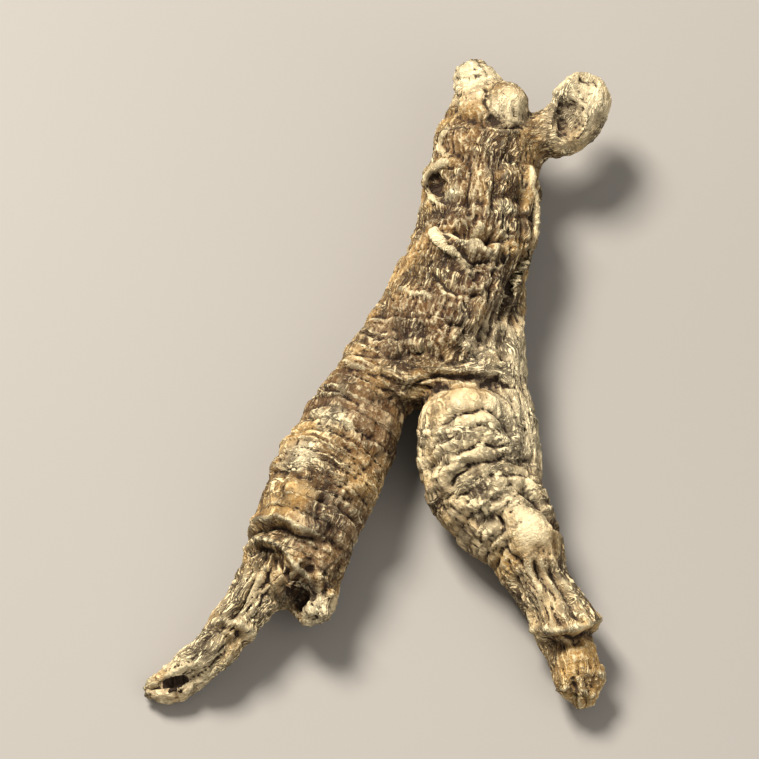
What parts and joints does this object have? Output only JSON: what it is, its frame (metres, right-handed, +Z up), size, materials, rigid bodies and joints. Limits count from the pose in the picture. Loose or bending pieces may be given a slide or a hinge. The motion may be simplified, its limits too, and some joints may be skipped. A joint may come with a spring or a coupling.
{
  "type": "ginseng root",
  "caption": "Dried forked ginseng root lying flat, with a knobbly crown and stem scars, a wrinkled torso and legs that end in a broken tail and a cuffed toe.",
  "frame": {"origin": "centre of the box at the level of the surface that the root lies on", "axes": "+Y runs from the legs to the crown, +X towards the leg with the cuffed toe, +Z up"},
  "size_m": [0.0436, 0.0644, 0.0121],
  "materials": {
    "dried_root_skin": "dry and matt, wrinkled and ringed"
  },
  "bodies": {
    "root": {"ginseng_root": "dried_root_skin"}
  },
  "joints": []
}
